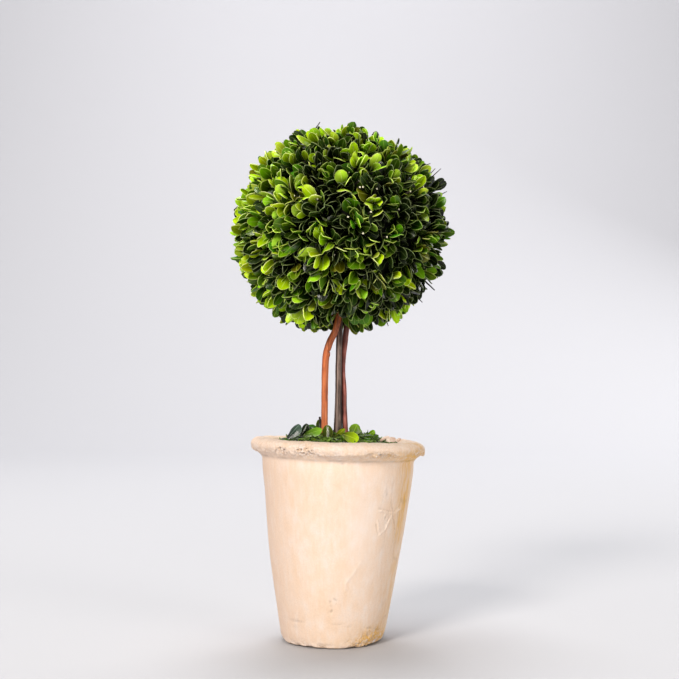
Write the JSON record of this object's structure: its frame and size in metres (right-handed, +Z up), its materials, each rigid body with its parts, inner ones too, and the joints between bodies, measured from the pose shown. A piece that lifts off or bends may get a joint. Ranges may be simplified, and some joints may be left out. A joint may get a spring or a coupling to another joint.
{
  "type": "box topiary ball in a clay pot",
  "caption": "Clipped ball of small box leaves on three bare stems, set in a tall tapering clay pot with a rolled rim and a bed of leaf clippings.",
  "frame": {"origin": "centre of the pot's flat underside, on the surface that the pot stands on", "axes": "+Z up through the stems to the crown, +X to the viewer's right, -Y towards the viewer"},
  "size_m": [0.1708, 0.171, 0.3993],
  "materials": {
    "limewashed_clay": "matt, limewashed, worn",
    "fill": "matt, crumbly",
    "clippings": "satin",
    "orange_bark": "satin, smooth bark",
    "grey_bark": "satin, finely ridged bark",
    "red_bark": "satin, smooth bark",
    "dark_bark": "matt",
    "leaves": "semi-gloss, leathery"
  },
  "bodies": {
    "root": {"pot": "limewashed_clay", "potting_fill": "fill", "leaf_litter": "clippings", "stem_left": "orange_bark", "stem_middle": "grey_bark", "stem_right": "red_bark", "broken_shoot": "dark_bark", "crown": "leaves"}
  },
  "joints": []
}
